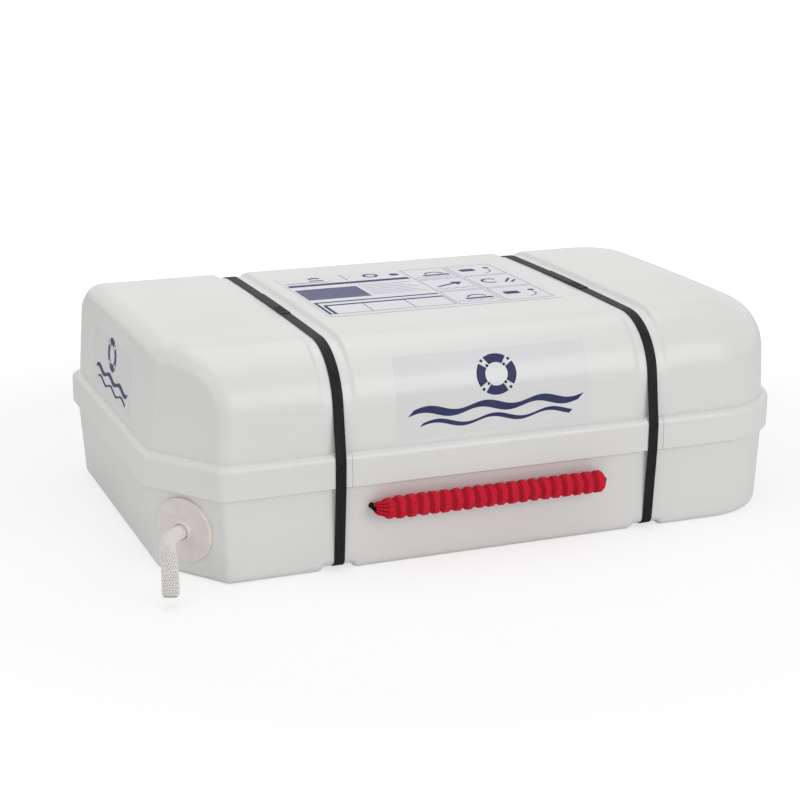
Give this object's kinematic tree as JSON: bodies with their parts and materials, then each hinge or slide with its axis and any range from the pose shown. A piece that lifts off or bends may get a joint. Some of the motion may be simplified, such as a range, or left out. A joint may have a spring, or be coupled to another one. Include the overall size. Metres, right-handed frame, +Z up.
{
  "type": "liferaft canister",
  "caption": "Two-part moulded liferaft container with rounded lid, overlapping skirt, strap channels, burst straps, gathered carrying handles and a painter line from a gland.",
  "frame": {"origin": "middle of the outline at the feet, leaving out the free painter", "axes": "+X along the canister away from the painter gland, +Y toward the back long side, +Z up"},
  "size_m": [0.7869, 0.5258, 0.2529],
  "materials": {
    "shell_white": "glossy moulded white shell",
    "seal_rubber": "soft rubber seal",
    "strap_black": "embossed polypropylene strapping",
    "gland_beige": "satin beige plastic",
    "painter_rope": "braided rope",
    "handle_red": "gathered nylon cloth",
    "cord_black": "braided cord",
    "washer_steel": "stainless washers",
    "raft_fabric": "coated raft fabric in its wrapping",
    "cylinder_paint": "painted gas cylinder",
    "head_brass": "machined brass",
    "webbing": "woven webbing",
    "pack_fabric": "sealed bag",
    "label_print": "printed film"
  },
  "bodies": {
    "root": {"upper_shell": "shell_white", "lower_shell": "shell_white", "rim_seal": "seal_rubber", "burst_strap_left": "strap_black", "burst_strap_right": "strap_black", "painter_gland": "gland_beige", "gland_nut": "gland_beige", "painter_hank": "painter_rope", "painter_line": "painter_rope", "handle_sleeve_front": "handle_red", "handle_sleeve_back": "handle_red", "handle_cord_front": "cord_black", "handle_cord_back": "cord_black", "handle_washers": "washer_steel", "packed_raft": "raft_fabric", "gas_cylinder": "cylinder_paint", "inflation_head": "head_brass", "cylinder_webbing": "webbing", "emergency_pack": "pack_fabric", "instruction_label": "label_print"}
  },
  "joints": []
}
